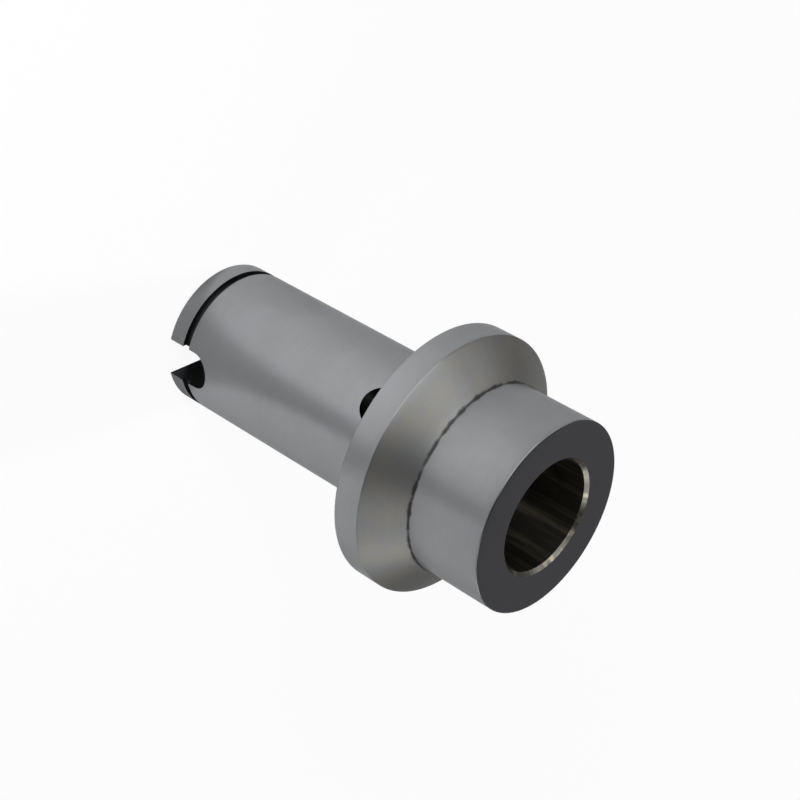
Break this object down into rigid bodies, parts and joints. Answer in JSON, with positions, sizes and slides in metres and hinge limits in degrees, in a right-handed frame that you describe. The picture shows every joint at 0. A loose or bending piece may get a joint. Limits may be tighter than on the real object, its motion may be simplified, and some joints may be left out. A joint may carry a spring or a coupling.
{
  "type": "morse taper sleeve",
  "caption": "Steel sleeve with a tapered socket in its nose, a coned locating flange, a plain cylindrical shank, a ring groove and a driving slot across the rear end.",
  "frame": {"origin": "middle of the slotted rear face, on the sleeve's axis", "axes": "+Z along the axis from the slotted rear end to the nose, where the taper opens; +X along the driving slot, on the side from which the cross hole lies 49 degrees clockwise seen from the nose; +Y completes the right-handed frame"},
  "size_m": [0.056, 0.056, 0.0915],
  "materials": {
    "steel": "fine turned and ground steel, bare"
  },
  "bodies": {
    "root": {"sleeve": "steel"}
  },
  "joints": []
}
